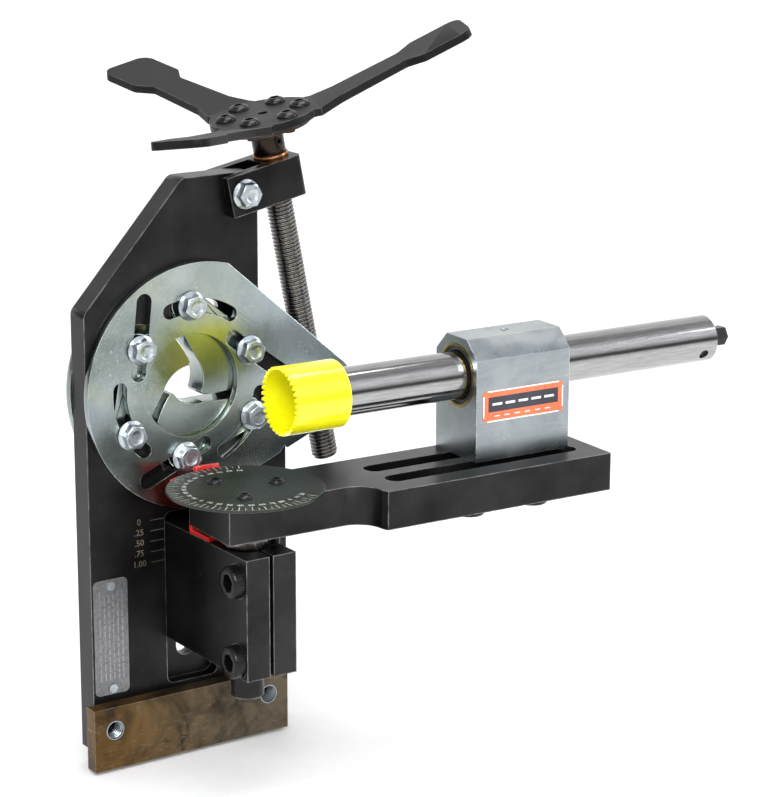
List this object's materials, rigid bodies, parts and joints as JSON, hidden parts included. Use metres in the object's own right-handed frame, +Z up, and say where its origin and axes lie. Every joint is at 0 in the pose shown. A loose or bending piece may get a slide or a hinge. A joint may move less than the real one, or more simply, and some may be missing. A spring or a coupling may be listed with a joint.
{
  "type": "hole-saw tube notcher with self-centring vise",
  "caption": "Hole-saw tube notcher: self-centring jaw vise closed by a leadscrew, swing arm with angle dial, sliding bearing block and drill-driven spindle.",
  "frame": {"origin": "midway between the two tapped holes, on the front face of the mounting bar", "axes": "+X along the swing arm (to the right of someone facing the vise), +Y into the back plate, +Z up"},
  "size_m": [0.4115, 0.254, 0.4237],
  "materials": {
    "black_oxide": "black oxide, worn bright on edges",
    "black_screw": "black oxide, oiled",
    "block_grey": "milled aluminium",
    "bronze": "bearing bronze",
    "bronze_oxide": "brown heat-tinted oxide, scuffed",
    "data_grey": "etched plate",
    "dial_green": "dark grey-green anodised",
    "flange_brown": "dark brown oxide",
    "ground_steel": "ground and polished",
    "label_print": "printed film",
    "pointer_red": "red paint",
    "saw_yellow": "gloss yellow enamel",
    "thread_steel": "oiled rolled thread",
    "zinc_bolt": "bright zinc plating",
    "zinc_plate": "clear zinc plating, slightly iridescent"
  },
  "bodies": {
    "frame": {"back_plate": "black_oxide", "mounting_bar": "bronze_oxide", "bar_screws": "black_screw", "data_plate": "data_grey", "data_plate_rivets": "zinc_bolt", "pivot_bolts": "zinc_bolt", "pivot_nuts": "zinc_bolt", "yoke_bolt": "zinc_bolt", "yoke_nut": "zinc_bolt"},
    "bracket": {"pivot_bracket": "black_oxide", "clamp_screws": "black_screw", "bracket_bolts": "black_screw", "bracket_washers": "zinc_bolt", "angle_pointer": "pointer_red", "pointer_screws": "black_screw"},
    "arm": {"swing_arm": "black_oxide", "pivot_post": "black_oxide", "post_collar": "black_oxide", "stop_pin": "black_screw", "degree_dial": "dial_green", "dial_screws": "black_screw"},
    "block": {"bearing_block": "block_grey", "bearing_cups": "ground_steel", "shaft_seals": "bronze", "grease_screw": "black_screw", "block_bolts": "black_screw", "block_washers": "zinc_bolt", "label_plate": "label_print"},
    "needle_bearings": {"needle_cages": "ground_steel", "needle_rollers": "ground_steel"},
    "spindle": {"spindle": "ground_steel", "drive_set_screw": "black_screw", "drive_hex": "black_screw", "hole_saw": "saw_yellow", "saw_arbor": "ground_steel"},
    "cams": {"front_cam_plate": "zinc_plate", "rear_cam_plate": "zinc_plate"},
    "nut": {"barrel_nut": "thread_steel"},
    "yoke": {"yoke_block": "black_oxide", "thrust_bush": "bronze"},
    "screw": {"leadscrew": "thread_steel", "drive_collar": "flange_brown", "collar_set_screw": "black_screw", "handle_flange": "flange_brown", "handle_spider": "black_oxide", "handle_screws": "black_screw"},
    "left_jaw": {"left_jaw": "zinc_plate", "left_cam_bolt": "zinc_bolt", "left_cam_nut": "zinc_bolt"},
    "lower_jaw": {"lower_jaw": "zinc_plate", "lower_cam_bolt": "zinc_bolt", "lower_cam_nut": "zinc_bolt"},
    "right_jaw": {"right_jaw": "zinc_plate", "right_cam_bolt": "zinc_bolt", "right_cam_nut": "zinc_bolt"}
  },
  "joints": [
    {"name": "offset_slide", "type": "slide", "parent": "frame", "child": "bracket", "axis": [0, 0, -1], "range_m": [0, 0.0254]},
    {"name": "arm_swing", "type": "hinge", "parent": "bracket", "child": "arm", "pos_m": [0.00527, -0.05359, 0.14961], "axis": [0, 0, 1], "range_deg": [-57.5, 2.5]},
    {"name": "block_slide", "type": "slide", "parent": "arm", "child": "block", "axis": [-0.999, 0.0436, 0], "range_m": [-0.006, 0.066]},
    {"name": "spindle_spin", "type": "hinge", "parent": "block", "child": "needle_bearings", "pos_m": [0.1796, -0.06121, 0.19812], "axis": [-0.999, 0.0436, 0], "continuous": true},
    {"name": "spindle_feed", "type": "slide", "parent": "needle_bearings", "child": "spindle", "axis": [-0.999, 0.0436, 0], "range_m": [-0.075, 0.06]},
    {"name": "handle_spin", "type": "hinge", "parent": "yoke", "child": "screw", "pos_m": [0.07014, 0.01746, 0.31228], "axis": [-0.1953, 0, 0.9808], "range_deg": [-6032, 696]},
    {"name": "cam_turn", "type": "hinge", "parent": "frame", "child": "cams", "pos_m": [0.00527, 0.01746, 0.19812], "axis": [0, -1, 0], "range_deg": [-3, 26]},
    {"name": "yoke_tilt", "type": "hinge", "parent": "frame", "child": "yoke", "pos_m": [0.04149, 0.01746, 0.30658], "axis": [0, -1, 0], "range_deg": [-0.46, 3.91]},
    {"name": "nut_tilt", "type": "hinge", "parent": "cams", "child": "nut", "pos_m": [0.09589, 0.01746, 0.18344], "axis": [0, -1, 0], "range_deg": [-22.11, 2.56]},
    {"name": "left_jaw_swing", "type": "hinge", "parent": "frame", "child": "left_jaw", "pos_m": [-0.03542, 0.01746, 0.17463], "axis": [0, -1, 0], "range_deg": [-1.8, 15.6]},
    {"name": "lower_jaw_swing", "type": "hinge", "parent": "frame", "child": "lower_jaw", "pos_m": [0.04596, 0.01746, 0.17463], "axis": [0, -1, 0], "range_deg": [-1.8, 15.6]},
    {"name": "right_jaw_swing", "type": "hinge", "parent": "frame", "child": "right_jaw", "pos_m": [0.00527, 0.01746, 0.24511], "axis": [0, -1, 0], "range_deg": [-1.8, 15.6]}
  ],
  "couplings": [
    {"joint": "cam_turn", "follows": "handle_spin", "ratio": -0.0043103},
    {"joint": "yoke_tilt", "follows": "handle_spin", "ratio": -0.00064655},
    {"joint": "nut_tilt", "follows": "handle_spin", "ratio": 0.0036638},
    {"joint": "left_jaw_swing", "follows": "handle_spin", "ratio": -0.0025862},
    {"joint": "lower_jaw_swing", "follows": "handle_spin", "ratio": -0.0025862},
    {"joint": "right_jaw_swing", "follows": "handle_spin", "ratio": -0.0025862}
  ]
}
